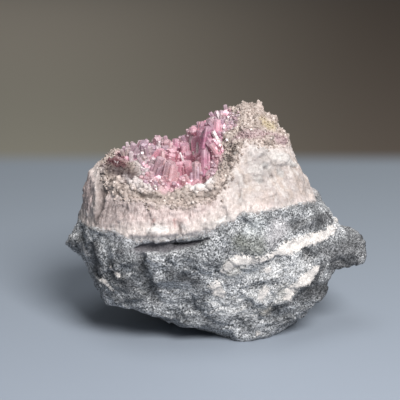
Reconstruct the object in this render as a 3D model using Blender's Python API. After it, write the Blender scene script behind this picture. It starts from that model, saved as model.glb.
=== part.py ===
"""Cobaltoan calcite on its matrix: a hand specimen about 100 mm wide that rests on a broken flat face.

Grey granular rock carries a bed of white to pale pink calcite. A tan druse lies on the bed, surrounds the
hollow in the top and caps the peak beside it. Pink crystals stand in the hollow on a thin crust. The broken
outline is made once, from overlapping lumps with flat fracture faces, and two bedding sheets then part it
into the rock, the bed and the druse. Sizes are in millimetres and are scaled to metres as meshes are made.
"""

import math
import random

import bmesh
import bpy
from mathutils import Matrix, Vector, noise
from mathutils.bvhtree import BVHTree

MM = 0.001
GAP = 0.3  # between neighbouring pieces
SLIVER = 0.03  # the shortest edge that is kept
VOXEL = 1.3  # of the first mesh of the outline
OUTLINE_FACES = 4200  # triangles of the whole outline, before it is parted

# Corners of the lumps: x to the right, y to the back and z up, with z = 0 on the table.
LUMPS = {
    "main rock": [
        (9, -12.5, -1), (14.5, -9.5, -2), (20, -5, -2), (24, 3, -2), (26, 10, -2), (20, 22, -2), (2, 28, -2),
        (-16, 22, -2), (-19, 12, -2), (-11, 6, -2), (-2, -1, -2), (4, -7, -2), (4, -14.5, 3.5),
        (0.5, -15.5, 5.5), (-12, -16, 9.5), (-20, -16, 12), (18, -12, 2.5), (22.5, -12.5, 6), (30, -10.5, 11),
        (36, -8.5, 18.5), (34, 12, 12), (20, 30, 10), (-10, 32, 10), (-24, 24, 12), (-22, -24, 33),
        (-6, -26, 36), (8, -25, 35), (22, -21, 33), (38, -8, 24), (40, 8, 28), (26, 30, 26), (-4, 36, 26),
        (-24, 28, 28), (-22, -23.5, 38), (-2, -25, 42), (12, -23.5, 46.5), (26, -14, 46.5), (37.5, -4, 40.5),
        (40.5, -3, 35.5), (33, -4.5, 44), (33, 12, 44), (20, 26, 44), (-8, 31, 43),
    ],
    "left rock": [
        (-17, -15.6, 10.4), (-24, -16.6, 11.8), (-35, -13.5, 13), (-38, -11.5, 14), (-20, 12, 3), (-24, 22, 5),
        (-34, 24, 14), (-40, 12, 17), (-42, -7.5, 21.5), (-44.5, -5, 25), (-49.5, 1, 28.5), (-47.5, 14, 28),
        (-23.5, -18.5, 24), (-38.5, -15.5, 33), (-29, -22, 34), (-24, -23, 35), (-48, 2, 32), (-45, 1.5, 39),
        (-44, 16, 38), (-38, -14, 41), (-26, -21, 39), (-36, 26, 36), (-18, 28, 38),
    ],
    "right beak": [
        (34, -10, 33), (36, -8.5, 22), (42, -6, 24), (46.5, -5, 24), (48, -4.5, 25), (48.8, -3.5, 28),
        (48.5, -2.5, 31), (45.5, -3, 32.5), (47, 5, 30), (46, 5, 25.5), (40, 9, 34), (38, 9, 22),
    ],
    "calcite bed": [
        (-45, 1, 38.5), (-38, -14, 40), (-27, -21, 37.5), (-18, -23.5, 38), (-10, -24, 39), (-1, -24, 42),
        (8, -23.5, 46), (20, -18.5, 47), (25.5, -13.5, 47.5), (31, -4, 45.8), (30, 10, 46), (20, 25, 44),
        (0, 31, 43), (-24, 28, 40), (-40, 17, 40), (-44.5, 2, 47.5), (-37.5, -8.5, 49.5), (-31, -13.5, 49.5),
        (-21.5, -17.5, 49.5), (-15, -18.5, 50), (-6, -19.5, 50.5), (1, -19.5, 52), (16, -19, 53),
        (24, -12, 52), (28.5, -3, 52), (26, 12, 52), (10, 25, 52), (-12, 26, 50), (-30, 22, 50),
    ],
    "left slab": [
        (-45, 1, 42), (-38.5, -13, 42), (-44.5, 2, 48), (-43, 3, 52), (-41, 5, 55), (-38.8, 7, 56),
        (-38, -8, 51), (-37, -2, 54.5), (-36, 8, 54), (-36, -10, 44), (-38, 14, 50), (-34, 4, 46),
    ],
    "left shoulder": [
        (-38.5, 8, 55), (-36.5, 11, 57.6), (-32.5, 14, 57.6), (-29, 15.5, 58.2), (-20, 17, 58.7),
        (-12, 16.5, 59), (-37, -8, 49.5), (-31, -13.5, 50), (-21.5, -17.5, 50), (-10, -18, 50.5),
        (-35.5, -2, 55), (-29, -6, 54.8), (-21, -10, 53.6), (-10, -12, 52.5), (-40, 12, 48), (-30, 22, 50),
        (-10, 24, 50), (2, 22, 50), (2, -18, 50),
    ],
    "back ridge": [
        (0, 8, 71.5), (-4, 12, 66.5), (-9, 14, 62), (-14, 15.5, 59), (-2, 4, 58), (-10, 8, 52),
        (-16, 10, 50), (3, 18, 66), (-4, 19, 62), (-10, 20, 57), (3, 23, 52), (-16, 20, 50), (6, 10, 72),
    ],
    "peak": [
        (-3, -19.5, 52), (0, -17.5, 56), (2.5, -15, 60), (3, -13, 63), (6.5, -9.5, 67.3), (13, -9, 66),
        (20.5, -5, 63), (8.7, 4, 76.2), (13.5, 4, 75.2), (15, 3, 73), (18, 3, 70.8), (20.6, 1, 67),
        (21.4, 0, 64.7), (22.4, -2, 61), (24, -3, 57), (26.5, -3, 54), (25, -12, 50), (18, -18, 50),
        (5, 6, 74.3), (0, 8, 71), (-2, -10, 50), (-4, 14, 56), (8, 18, 66), (16, 14, 64), (22, 14, 52),
        (4, 22, 52),
    ],
    "cleavage chip": [
        (18, -12, 58), (24.6, -3, 56), (24.8, -3, 57.6), (22.5, -3, 60), (19, -8, 60.8), (15, -14, 56),
        (22, -10, 56.5), (16, -4, 56),
    ],
}

# Rounded knobs of the druse, as centre and radius: the white ones on the lip, the grey ones on the left
# shoulder and the small ones that break the line of the peak.
KNOBS = [
    (-14, -15.5, 50.5, 2.4), (-10, -16.5, 50.8, 2.2), (-6, -16, 51.5, 2.6), (-2, -15.5, 52.5, 2.3),
    (-31, -9.5, 52, 3), (-26.5, -12, 51.5, 2.8), (-22, -14.5, 50.8, 2.4), (-34, -3, 54.5, 2.2),
    (-37.5, 8, 55.5, 2), (-35, 11, 57, 1.9), (-30, -4, 54.5, 2.4), (4.8, 6, 73.6, 1.6), (8.2, 4.5, 75.2, 1.7),
    (12.4, 4, 75, 1.5), (15, 4, 72.2, 1.5), (18, 3, 69.8, 1.6), (20.4, 0.5, 66, 1.5), (20.6, -1.5, 63.2, 1.5),
    (11, -4, 70, 1.8), (15.5, -6, 66.5, 1.6), (8.5, -7, 68.5, 1.5),
]

# Height of the two bedding sheets along x: the top of the grey rock and the top of the white calcite.
ROCK_TOP = [
    (-60, 38), (-45, 38.5), (-36, 40.3), (-27, 37.8), (-10, 39.2), (-1, 42.6), (8, 47.2), (25, 48), (33, 46),
]
BED_TOP = [
    (-60, 60), (-41, 58.5), (-38.5, 55.5), (-35.5, 50.3), (-21.5, 49.5), (-15, 50.5), (-6, 50), (1, 52.5),
    (4.5, 58), (7, 67), (13, 65.7), (21, 62.7), (60, 58),
]
SHEET_CELL = 8.5
SHEET_REACH = 66
SHEET_WAVE = 0.8
BACKWARD_DIP = 0.08  # how far the beds fall for each millimetre behind the front face
FRONT = -20
BED_UNDER_HOLLOW = 4.5  # of druse between the hollow and the bed

# The hollow is three overlapping rounded cavities: centre and half sizes.
CAVITIES = [
    ((-11.5, -1.5, 61.5), (14, 15.5, 13)),
    ((-21.5, 8.5, 63.2), (13, 10, 9.5)),
    ((-5, 1.5, 76), (9.5, 9.5, 14)),
]
UNEVEN = 0.13  # how far the walls of the hollow stray, as a share of its half sizes

# Crystals of the hollow: their crust, their feet and their sizes, which grow towards the middle.
CRUST = 1.3
BURIED = 1.0
CRYSTAL_SEED = 5
CRYSTAL_APART = 3.1
SHELF_EDGE = -24  # they stand closer to the left of this x
SHELF_CLOSER = 0.8
CRYSTAL_RADIUS = (1.2, 1.7)
CRYSTAL_LENGTH = (4.2, 6.2)
MIDDLE_WIDER = 0.5
MIDDLE_LONGER = 4.0
MIDDLE_REACH = 26
CREST_Y = 7  # behind this y the crystals are shorter, so that they break the skyline only a little
CREST_SHORTER = 0.75
TIP_SLOPE = 0.5

# The open crack in the rock below the bed, as x, height, depth into the rock and half opening.
CRACK = [
    (-31, 34.6, 1, 0.3), (-27, 35, 5, 1), (-20, 36.3, 8, 1.6), (-12, 36.8, 8, 1.4), (-5, 38.6, 5, 0.9),
    (0, 40, 1, 0.3),
]
CRACK_MOUTH = -30
CRACK_FACE = -24

# Colour and roughness of each piece.
LOOKS = {
    "grey_matrix": ((0.20, 0.21, 0.22), 0.85),
    "calcite_bed": ((0.78, 0.68, 0.64), 0.6),
    "druse_crust": ((0.48, 0.40, 0.35), 0.65),
    "pink_crystals": ((0.66, 0.24, 0.38), 0.2),
}


def clear_scene():
    for obj in list(bpy.data.objects):
        bpy.data.objects.remove(obj)


def add_object(name, mesh):
    """An object that helps to shape the pieces, and is hidden until it is one of them."""
    obj = bpy.data.objects.new(name, mesh)
    bpy.context.scene.collection.objects.link(obj)
    obj.hide_render = True
    obj.display_type = "WIRE"
    return obj


def object_from(name, bm):
    bmesh.ops.recalc_face_normals(bm, faces=bm.faces)
    mesh = bpy.data.meshes.new(name)
    bm.to_mesh(mesh)
    bm.free()
    return add_object(name, mesh)


def settle(obj):
    """Bakes the object's modifiers into its mesh."""
    graph = bpy.context.evaluated_depsgraph_get()
    mesh = bpy.data.meshes.new_from_object(obj.evaluated_get(graph))
    obj.modifiers.clear()
    obj.data = mesh


def combine(obj, other, operation, overlapping=False):
    """Joins, cuts or crosses obj with other, which is used up."""
    modifier = obj.modifiers.new(operation.lower(), "BOOLEAN")
    modifier.object = other
    modifier.operation = operation
    modifier.solver = "EXACT"
    modifier.use_self = overlapping
    settle(obj)
    bpy.data.objects.remove(other)


def level(profile, x):
    """Height of a profile of (x, height) points at x, eased between the points."""
    for (x0, z0), (x1, z1) in zip(profile, profile[1:]):
        if x <= x1:
            t = max((x - x0) / (x1 - x0), 0)
            return z0 + (z1 - z0) * t * t * (3 - 2 * t)
    return profile[-1][1]


def rock_top(x, y):
    wave = SHEET_WAVE * noise.noise(Vector((x, y, 0)) / 11)
    return level(ROCK_TOP, x) - BACKWARD_DIP * (y - FRONT) + wave


def bed_top(x, y):
    """The top of the calcite bed, which sinks under the hollow."""
    (cx, cy, cz), (rx, ry, rz) = CAVITIES[0]
    under_hollow = cz - rz - BED_UNDER_HOLLOW
    near = math.exp(-0.8 * (((x - cx) / rx) ** 2 + ((y - cy) / ry) ** 2) ** 2)
    height = level(BED_TOP, x) + SHEET_WAVE * noise.noise(Vector((x, y, 40)) / 9)
    return min(height, height + (under_hollow - height) * near)


def relief(p):
    """How far the surface stands out at a point in millimetres: blocky rock, a fibrous bed, a lumpy druse."""
    blocky = 1.6 * noise.fractal(p / 13, 1.0, 2.0, 3)
    if p.z < rock_top(p.x, p.y):
        return blocky + 0.5 * noise.ridged_multi_fractal(p / 7, 1.0, 2.0, 3, 1.0, 2.0) - 0.7
    if p.z < bed_top(p.x, p.y):
        return 0.6 * blocky + 0.7 * noise.noise(Vector((p.x / 2.4, p.y / 2.4, p.z / 14)))
    return 0.5 * blocky + 1.3 * noise.noise(p / 3.4)


def add_hull(bm, corners):
    verts = [bm.verts.new(Vector(c) * MM) for c in corners]
    made = bmesh.ops.convex_hull(bm, input=verts)
    loose = {v for v in made["geom_interior"] + made["geom_unused"] if isinstance(v, bmesh.types.BMVert)}
    bmesh.ops.delete(bm, geom=list(loose), context="VERTS")


def make_outline():
    """The whole broken outline, with its relief and its flat base."""
    bm = bmesh.new()
    for corners in LUMPS.values():
        add_hull(bm, corners)
    for x, y, z, radius in KNOBS:
        place = Matrix.Translation(Vector((x, y, z)) * MM)
        bmesh.ops.create_icosphere(bm, subdivisions=2, radius=radius * MM, matrix=place)
    outline = object_from("outline", bm)
    remesh = outline.modifiers.new("remesh", "REMESH")
    remesh.mode = "VOXEL"
    remesh.voxel_size = VOXEL * MM
    smooth = outline.modifiers.new("smooth", "SMOOTH")
    smooth.factor = 0.5
    smooth.iterations = 2
    settle(outline)
    mesh = outline.data
    moved = [v.co + v.normal * relief(v.co / MM) * MM for v in mesh.vertices]
    for vertex, place in zip(mesh.vertices, moved):
        vertex.co = place
    decimate = outline.modifiers.new("decimate", "DECIMATE")
    decimate.ratio = OUTLINE_FACES / sum(len(p.vertices) - 2 for p in mesh.polygons)
    settle(outline)
    flatten_base(outline.data)
    return outline


def flatten_base(mesh):
    """Cuts the outline off on the table, so that it rests on one flat face."""
    bm = bmesh.new()
    bm.from_mesh(mesh)
    everything = bm.verts[:] + bm.edges[:] + bm.faces[:]
    bmesh.ops.bisect_plane(bm, geom=everything, plane_co=(0, 0, 0), plane_no=(0, 0, -1), clear_outer=True)
    bmesh.ops.edgeloop_fill(bm, edges=[e for e in bm.edges if e.is_boundary])
    bmesh.ops.recalc_face_normals(bm, faces=bm.faces)
    bm.to_mesh(mesh)
    bm.free()


def ground(height, way):
    """All that lies above a bedding sheet (way 1) or below it (way -1), less half the gap."""
    cells = round(2 * SHEET_REACH / SHEET_CELL)
    bm = bmesh.new()
    bmesh.ops.create_grid(bm, x_segments=cells, y_segments=cells, size=SHEET_REACH)
    bmesh.ops.triangulate(bm, faces=bm.faces[:], quad_method="FIXED")
    for vert in bm.verts:
        vert.co.z = height(vert.co.x, vert.co.y)
    bm.normal_update()
    normals = [v.normal.copy() for v in bm.verts]
    for vert, normal in zip(bm.verts, normals):
        vert.co = (vert.co + normal * way * GAP / 2) * MM
    made = bmesh.ops.extrude_face_region(bm, geom=bm.faces[:])
    for vert in made["geom"]:
        if isinstance(vert, bmesh.types.BMVert):
            vert.co.z = way * 2 * SHEET_REACH * MM
    return object_from("ground", bm)


def cavity(name, margin, detail=3):
    """The hollow, shrunk by margin on every side."""
    hollow = None
    for index, (centre, half) in enumerate(CAVITIES):
        bm = bmesh.new()
        bmesh.ops.create_icosphere(bm, subdivisions=detail, radius=1)
        for vert in bm.verts:
            way = vert.co.copy()
            stray = 1 + UNEVEN * noise.noise(way * 2.2 + Vector((index, 0, 0)))
            size = Vector([way[k] * (half[k] * stray - margin) for k in range(3)])
            vert.co = (Vector(centre) + size) * MM
        ball = object_from(name, bm)
        if hollow is None:
            hollow = ball
        else:
            combine(hollow, ball, "UNION")
    return hollow


def crack():
    """A thin wedge that follows the open crack, widest at the face and sharp at its inner end."""
    bm = bmesh.new()
    rings = []
    for x, z, deep, half in CRACK:
        low = (x, CRACK_MOUTH, z - 2 * half)
        high = (x, CRACK_MOUTH, z + 2 * half)
        inner = (x, CRACK_FACE + deep, z + half / 4)
        rings.append([bm.verts.new(Vector(c) * MM) for c in (low, high, inner)])
    for ring, following in zip(rings, rings[1:]):
        for k in range(3):
            bm.faces.new((ring[k], ring[k - 1], following[k - 1], following[k]))
    bm.faces.new(rings[0])
    bm.faces.new(rings[-1])
    return object_from("crack", bm)


def copy_of(obj, name):
    return add_object(name, obj.data.copy())


def make_beds(outline):
    """The rock, the bed and the druse: the outline without the hollow and the crack, parted by the sheets."""
    combine(outline, cavity("hollow", 0), "DIFFERENCE")
    combine(outline, crack(), "DIFFERENCE")
    sides_of = {
        "grey_matrix": [(rock_top, -1)],
        "calcite_bed": [(rock_top, 1), (bed_top, -1)],
        "druse_crust": [(bed_top, 1)],
    }
    pieces = []
    for name, sides in sides_of.items():
        piece = copy_of(outline, name)
        for height, way in sides:
            combine(piece, ground(height, way), "INTERSECT")
        pieces.append(piece)
    return pieces


def add_crystal(bm, foot, axis, radius, length, turn):
    """A six-sided column that ends in three sloping faces."""
    upright = axis.to_track_quat("Z", "Y").to_matrix().to_4x4()
    place = Matrix.Translation(foot) @ upright @ Matrix.Rotation(turn, 4, "Z")
    rings = []
    for height, drop in ((0, 0), (length, radius * TIP_SLOPE)):
        ring = []
        for k in range(6):
            angle = math.pi / 3 * k
            z = height - drop * (1 + k % 2) / 2
            ring.append(bm.verts.new(place @ Vector((radius * math.cos(angle), radius * math.sin(angle), z))))
        rings.append(ring)
    bottom, top = rings
    tip = bm.verts.new(place @ Vector((0, 0, length)))
    bm.faces.new(bottom[::-1])
    for k in range(6):
        bm.faces.new((bottom[k - 1], bottom[k], top[k], top[k - 1]))
    for k in (1, 3, 5):
        bm.faces.new((tip, top[k - 1], top[k], top[(k + 1) % 6]))


def crystal_places(shell, outline, chance):
    """Points spread over the part of the hollow's wall that lies in the rock, with the way into the hollow."""
    tree = BVHTree.FromObject(outline, bpy.context.evaluated_depsgraph_get())
    faces = list(shell.data.polygons)
    places = []
    for face in chance.choices(faces, [f.area for f in faces], k=1600):
        corners = [shell.data.vertices[i].co for i in face.vertices]
        shares = [chance.random() + 0.05 for _ in corners]
        spot = sum((c * s for c, s in zip(corners, shares)), Vector()) / sum(shares)
        near, normal, _, _ = tree.find_nearest(spot)
        apart = CRYSTAL_APART * MM * (1 if spot.x > SHELF_EDGE * MM else SHELF_CLOSER)
        if (spot - near).dot(normal) < 0 and all((spot - other).length > apart for other, _ in places):
            places.append((spot, -face.normal))
    return places


def make_crystals(outline):
    """The pink crystals of the hollow, grown together with the crust they stand on."""
    chance = random.Random(CRYSTAL_SEED)
    crust = cavity("pink_crystals", -GAP)
    combine(crust, copy_of(outline, "around"), "INTERSECT")
    inner = cavity("inner", GAP + CRUST, detail=2)
    places = crystal_places(inner, outline, chance)
    combine(crust, inner, "DIFFERENCE")
    middle = Vector(CAVITIES[0][0]) * MM
    bm = bmesh.new()
    for spot, way in places:
        central = max(0, 1 - (spot - middle).length / (MIDDLE_REACH * MM))
        radius = chance.uniform(*CRYSTAL_RADIUS) + MIDDLE_WIDER * central
        length = chance.uniform(*CRYSTAL_LENGTH) + MIDDLE_LONGER * central
        if spot.y > CREST_Y * MM:
            length *= CREST_SHORTER
        lean = Vector((chance.uniform(-0.3, 0.3), chance.uniform(-0.5, 0.1), chance.uniform(0.5, 1.1)))
        foot = spot - way * BURIED * MM
        add_crystal(bm, foot, (way + lean).normalized(), radius * MM, length * MM, chance.uniform(0, 1))
    combine(crust, object_from("crystals", bm), "UNION", overlapping=True)
    rim = copy_of(outline, "rim")
    normals = [v.normal.copy() for v in rim.data.vertices]
    for vertex, normal in zip(rim.data.vertices, normals):
        vertex.co += normal * GAP * MM
    combine(rim, cavity("opening", GAP), "DIFFERENCE")
    combine(crust, rim, "DIFFERENCE")
    return crust


def bodies(bm):
    """The faces of a mesh in groups that hang together along edges, the largest group last."""
    left = set(bm.faces)
    groups = []
    while left:
        group = [left.pop()]
        for face in group:
            for edge in face.edges:
                for other in edge.link_faces:
                    if other in left:
                        left.remove(other)
                        group.append(other)
        groups.append(group)
    return sorted(groups, key=lambda group: sum(f.calc_area() for f in group))


def clean(mesh):
    """Takes out the slivers and the loose chips that the cuts leave."""
    bm = bmesh.new()
    bm.from_mesh(mesh)
    bmesh.ops.dissolve_degenerate(bm, edges=bm.edges[:], dist=SLIVER * MM)
    bmesh.ops.triangulate(bm, faces=bm.faces[:])
    bmesh.ops.dissolve_degenerate(bm, edges=bm.edges[:], dist=SLIVER * MM)
    for chip in bodies(bm)[:-1]:
        bmesh.ops.delete(bm, geom=chip, context="FACES")
    bm.to_mesh(mesh)
    bm.free()


def finish(pieces):
    """Puts the origin under the middle of the whole, and gives each piece its look."""
    corners = [v.co for piece in pieces for v in piece.data.vertices]
    middle = [(min(c[k] for c in corners) + max(c[k] for c in corners)) / 2 for k in range(2)]
    to_origin = Matrix.Translation((-middle[0], -middle[1], 0))
    for piece in pieces:
        clean(piece.data)
        piece.data.transform(to_origin)
        colour, roughness = LOOKS[piece.name]
        material = bpy.data.materials.new(piece.name)
        material.use_nodes = True
        shader = material.node_tree.nodes["Principled BSDF"]
        shader.inputs["Base Color"].default_value = (*colour, 1)
        shader.inputs["Roughness"].default_value = roughness
        shader.inputs["Metallic"].default_value = 0
        piece.data.materials.clear()
        piece.data.materials.append(material)
        piece.hide_render = False
        piece.display_type = "TEXTURED"


def main():
    clear_scene()
    outline = make_outline()
    crystals = make_crystals(outline)
    pieces = make_beds(outline) + [crystals]
    bpy.data.objects.remove(outline)
    finish(pieces)


main()
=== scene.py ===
import itertools
import math
import random

import bmesh
import bpy
import numpy as np
from mathutils import Matrix, Vector
from mathutils.bvhtree import BVHTree


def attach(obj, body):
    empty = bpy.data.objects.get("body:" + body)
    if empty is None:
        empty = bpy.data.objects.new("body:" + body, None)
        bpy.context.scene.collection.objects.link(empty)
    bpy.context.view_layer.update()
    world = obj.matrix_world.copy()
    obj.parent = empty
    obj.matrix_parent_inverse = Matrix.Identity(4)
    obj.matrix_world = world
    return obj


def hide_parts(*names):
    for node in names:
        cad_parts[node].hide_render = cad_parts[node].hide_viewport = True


mm = 0.001
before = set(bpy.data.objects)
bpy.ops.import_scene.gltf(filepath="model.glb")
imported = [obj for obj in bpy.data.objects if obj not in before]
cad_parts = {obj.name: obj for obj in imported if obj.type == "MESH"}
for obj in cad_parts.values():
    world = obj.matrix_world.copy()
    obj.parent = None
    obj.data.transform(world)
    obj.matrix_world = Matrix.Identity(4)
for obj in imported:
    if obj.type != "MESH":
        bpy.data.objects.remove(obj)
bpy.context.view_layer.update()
print("packed part loaded:", ", ".join(sorted(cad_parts)))


# Random fields: every one takes points in millimetres, one a row, and gives one number for each

def lattice(cells, seed):
    # a number from 0 to 1 for each whole-number cell, always the same for the same seed
    x, y, z = (cells[:, k].astype(np.uint32) for k in range(3))
    mixed = x * np.uint32(0x8DA6B343) ^ y * np.uint32(0xD8163841) ^ z * np.uint32(0xCB1AB31F)
    mixed ^= np.uint32((seed * 2654435761) % 2**32)
    for shift, factor in ((15, 0x2C1B3C6D), (12, 0x297A2D39), (15, 1)):
        mixed = (mixed ^ (mixed >> np.uint32(shift))) * np.uint32(factor)
    return mixed / 2**32


def softNoise(points, size, seed):
    # smooth swells about one size apart, from -1 to 1; the size may differ along x, y and z
    place = points / np.array(size)
    cell = np.floor(place).astype(np.int64)
    part = place - cell
    part = part * part * (3 - 2 * part)
    total = 0
    for corner in itertools.product((0, 1), repeat=3):
        share = np.prod(np.where(corner, part, 1 - part), axis=1)
        total = total + share * lattice(cell + np.array(corner), seed)
    return 2 * total - 1


def layered(points, size, seed, octaves=3):
    size = np.array(size, float)
    return sum(softNoise(points, size / 2**k, seed + k) / 2**k for k in range(octaves))


def grains(points, size, seed):
    # the nearest of scattered grain middles: the way to it, how clearly it is nearest, and its own number
    place = points / np.array(size)
    cell = np.floor(place).astype(np.int64)
    nearest = np.full(len(points), 9.0)
    second = nearest.copy()
    way = np.zeros((len(points), 3))
    own = np.zeros(len(points))
    for step in itertools.product((-1, 0, 1), repeat=3):
        other = cell + np.array(step)
        middle = other + np.stack([lattice(other, seed + k) for k in range(3)], axis=1)
        apart = np.linalg.norm(place - middle, axis=1)
        closer = apart < nearest
        second = np.where(closer, nearest, np.minimum(second, apart))
        nearest = np.where(closer, apart, nearest)
        way[closer] = (place - middle)[closer]
        own[closer] = lattice(other, seed + 7)[closer]
    return way, second - nearest, own


def facets(points, size, seed, tilt=1.0):
    # broken faces: each grain is one flat facet that leans its own way and stands at its own height
    way, _, own = grains(points, size, seed)
    lean = np.stack([np.sin(own * 77 + k * 2.1) for k in range(3)], axis=1)
    return tilt * (way * lean).sum(axis=1) + 2 * own - 1


def nearLine(points, line):
    # how far inside a band along a line each point is, in millimetres; a line is x, y, z and half width
    inside = np.full(len(points), -99.0)
    line = np.array(line, float)
    for start, end in zip(line, line[1:] if len(line) > 1 else line):
        along = end[:3] - start[:3]
        share = np.clip((points - start[:3]) @ along / max(along @ along, 1e-9), 0, 1)
        away = np.linalg.norm(points - start[:3] - share[:, None] * along, axis=1)
        inside = np.maximum(inside, start[3] + (end[3] - start[3]) * share - away)
    return inside


def insideAny(points, lines):
    return np.max([nearLine(points, line) for line in lines], axis=0)


def eased(value, low, high):
    share = np.clip((value - low) / (high - low), 0, 1)
    return share * share * (3 - 2 * share)


def shallower(points, lines, out, face):
    # brings the back of a hollow forward, close to a flat face that far from the middle
    out = np.array(out)
    near = eased(insideAny(points, lines), -3.2, -1.6)
    points += out * (0.9 * near * np.maximum(face - points @ out, 0))[:, None]


# Meshes: fine skins over the solids, and places to strew small pieces on them

def treeOf(node):
    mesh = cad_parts[node].data
    return BVHTree.FromPolygons([v.co for v in mesh.vertices], [p.vertices for p in mesh.polygons])


def solidOf(node):
    # a solid with its corners joined, ready to edit
    bm = bmesh.new()
    bm.from_mesh(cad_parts[node].data)
    bmesh.ops.remove_doubles(bm, verts=bm.verts, dist=1e-6)
    bm.normal_update()
    return bm


def addObject(name, data):
    made = bpy.data.objects.new(name, data)
    bpy.context.scene.collection.objects.link(made)
    return made


def pieceFrom(bm, name):
    mesh = bpy.data.meshes.new(name)
    bm.to_mesh(mesh)
    bm.free()
    return addObject(name, mesh)


def meshPiece(name, verts, faces):
    mesh = bpy.data.meshes.new(name)
    mesh.from_pydata([v * mm for v in verts], [], faces)
    mesh.validate()
    mesh.update()
    return addObject(name, mesh)


def evenFaces(piece, voxel):
    remesh = piece.modifiers.new("remesh", "REMESH")
    remesh.mode = "VOXEL"
    remesh.voxel_size = voxel * mm


def fineSkin(name, node, look):
    # the solid's surface, swollen a little so that neighbours meet, in small even faces
    bm = solidOf(node)
    for vert, normal in [(v, v.normal.copy()) for v in bm.verts]:
        vert.co += normal * look["swell"] * mm
    piece = pieceFrom(bm, name)
    evenFaces(piece, look["voxel"])
    smooth = piece.modifiers.new("smooth", "SMOOTH")
    smooth.iterations = look["soften"]
    applyModifiers(piece)
    return piece


def applyModifiers(piece):
    graph = bpy.context.evaluated_depsgraph_get()
    mesh = bpy.data.meshes.new_from_object(piece.evaluated_get(graph))
    piece.modifiers.clear()
    piece.data = mesh


def heightsAbove(points, node, most):
    # how far each point is from a neighbouring solid, in millimetres, up to a limit
    tree = treeOf(node)
    found = [tree.find_nearest(Vector(p) * mm, most * mm)[3] for p in points]
    return np.array([most if gap is None else gap / mm for gap in found])


def pointsOf(piece):
    flat = np.zeros(len(piece.data.vertices) * 3, np.float32)
    piece.data.vertices.foreach_get("co", flat)
    return flat.reshape(-1, 3).astype(float) / mm


def normalsOf(piece):
    flat = np.zeros(len(piece.data.vertices) * 3, np.float32)
    piece.data.vertices.foreach_get("normal", flat)
    return flat.reshape(-1, 3).astype(float)


def putPoints(piece, points):
    piece.data.vertices.foreach_set("co", (points * mm).astype(np.float32).ravel())
    piece.data.update()


def mark(piece, name, values):
    # a number for each vertex, which the materials read by name
    layer = piece.data.attributes.new(name, "FLOAT", "POINT")
    layer.data.foreach_set("value", np.asarray(values, np.float32))


def markPatches(piece, points, patches):
    for name, lines in patches.items():
        mark(piece, name, insideAny(points, lines))


def spots(piece, how, keep):
    # places strewn evenly over a piece where keep allows, no closer than apart, each with the way out of it
    mesh = piece.data
    mesh.calc_loop_triangles()
    corners = np.zeros(len(mesh.loop_triangles) * 3, np.int32)
    mesh.loop_triangles.foreach_get("vertices", corners)
    first, second, third = (pointsOf(piece)[corners.reshape(-1, 3)[:, k]] for k in range(3))
    across = np.cross(second - first, third - first)
    area = np.maximum(np.linalg.norm(across, axis=1), 1e-12)
    chance = np.random.default_rng(how["seed"])
    picked = chance.choice(len(area), how["tries"], p=area / area.sum())
    u, v = chance.random((2, how["tries"], 1))
    u, v = np.where(u + v > 1, 1 - u, u), np.where(u + v > 1, 1 - v, v)
    points = first[picked] + (second - first)[picked] * u + (third - first)[picked] * v
    ways = (across / area[:, None])[picked]
    kept = keep(points, chance)
    apart = how["apart"]
    found, taken = [], {}
    for spot, way in zip(points[kept].tolist(), ways[kept].tolist()):
        key = tuple(int(x // apart) for x in spot)
        around = itertools.product(*[(k - 1, k, k + 1) for k in key])
        if any(math.dist(spot, other) < apart for cell in around for other in taken.get(cell, ())):
            continue
        taken.setdefault(key, []).append(spot)
        found.append((Vector(spot), Vector(way)))
    return found[: how["most"]]


def stand(piece, node, material, smooth=True):
    piece.data.materials.clear()
    piece.data.materials.append(material)
    piece.data.polygons.foreach_set("use_smooth", [smooth] * len(piece.data.polygons))
    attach(piece, "root")
    if node:
        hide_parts(node)
    print(piece.name, "has", sum(len(p.vertices) - 2 for p in piece.data.polygons), "triangles")


# Materials

class Wire:
    # one output socket; arithmetic on it adds Math nodes
    def __init__(self, socket):
        self.socket = socket

    def maths(self, operation, first, second):
        node = self.socket.id_data.nodes.new("ShaderNodeMath")
        node.operation = operation
        for entry, value in zip(node.inputs, (first, second)):
            if isinstance(value, Wire):
                self.socket.id_data.links.new(value.socket, entry)
            else:
                entry.default_value = value
        return Wire(node.outputs[0])

    def __add__(self, other):
        return self.maths("ADD", self, other)

    def __sub__(self, other):
        return self.maths("SUBTRACT", self, other)

    def __rsub__(self, other):
        return self.maths("SUBTRACT", other, self)

    def __mul__(self, other):
        return self.maths("MULTIPLY", self, other)

    def __truediv__(self, other):
        return self.maths("DIVIDE", self, other)

    def __gt__(self, other):
        return self.maths("GREATER_THAN", self, other)

    __radd__ = __add__
    __rmul__ = __mul__


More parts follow.
